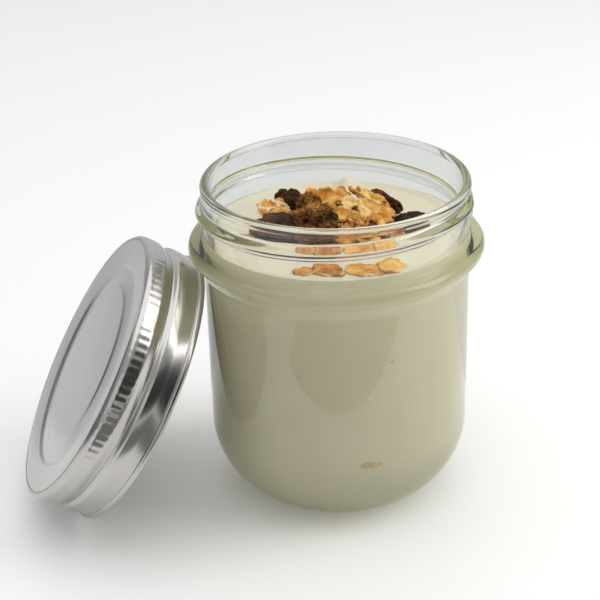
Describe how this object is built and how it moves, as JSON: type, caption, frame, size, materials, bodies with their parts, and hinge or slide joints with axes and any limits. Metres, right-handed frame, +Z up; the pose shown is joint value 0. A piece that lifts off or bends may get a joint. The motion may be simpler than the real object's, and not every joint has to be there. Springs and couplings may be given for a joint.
{
  "type": "glass dessert jar",
  "caption": "Small round glass screw jar filled with pale cream, topped with toasted oats, raisins and a nut, its ribbed metal lid leaning on its side.",
  "frame": {"origin": "middle of the jar's flat base, on the surface it stands on", "axes": "+Z up the jar's axis, -X towards the lid that leans on the jar"},
  "size_m": [0.1207, 0.0815, 0.0856],
  "materials": {
    "clear_glass": "smooth, clear, faintly green",
    "vanilla_cream": "smooth pale cream",
    "tinplate": "satin tinplate",
    "toasted_oats": "rough toasted flakes",
    "brown_fruit": "rough brown dried fruit",
    "dark_raisin": "wrinkled, slightly glossy",
    "red_raisin": "wrinkled, slightly glossy",
    "roasted_nut": "matt, orange and cream"
  },
  "bodies": {
    "root": {"glass_jar": "clear_glass", "cream_filling": "vanilla_cream", "metal_lid": "tinplate", "oat_heap": "toasted_oats", "fruit_cluster": "brown_fruit", "raisin_front_left": "dark_raisin", "raisin_back_left": "dark_raisin", "raisin_back_right": "red_raisin", "raisin_right": "dark_raisin", "nut_piece": "roasted_nut"}
  },
  "joints": []
}
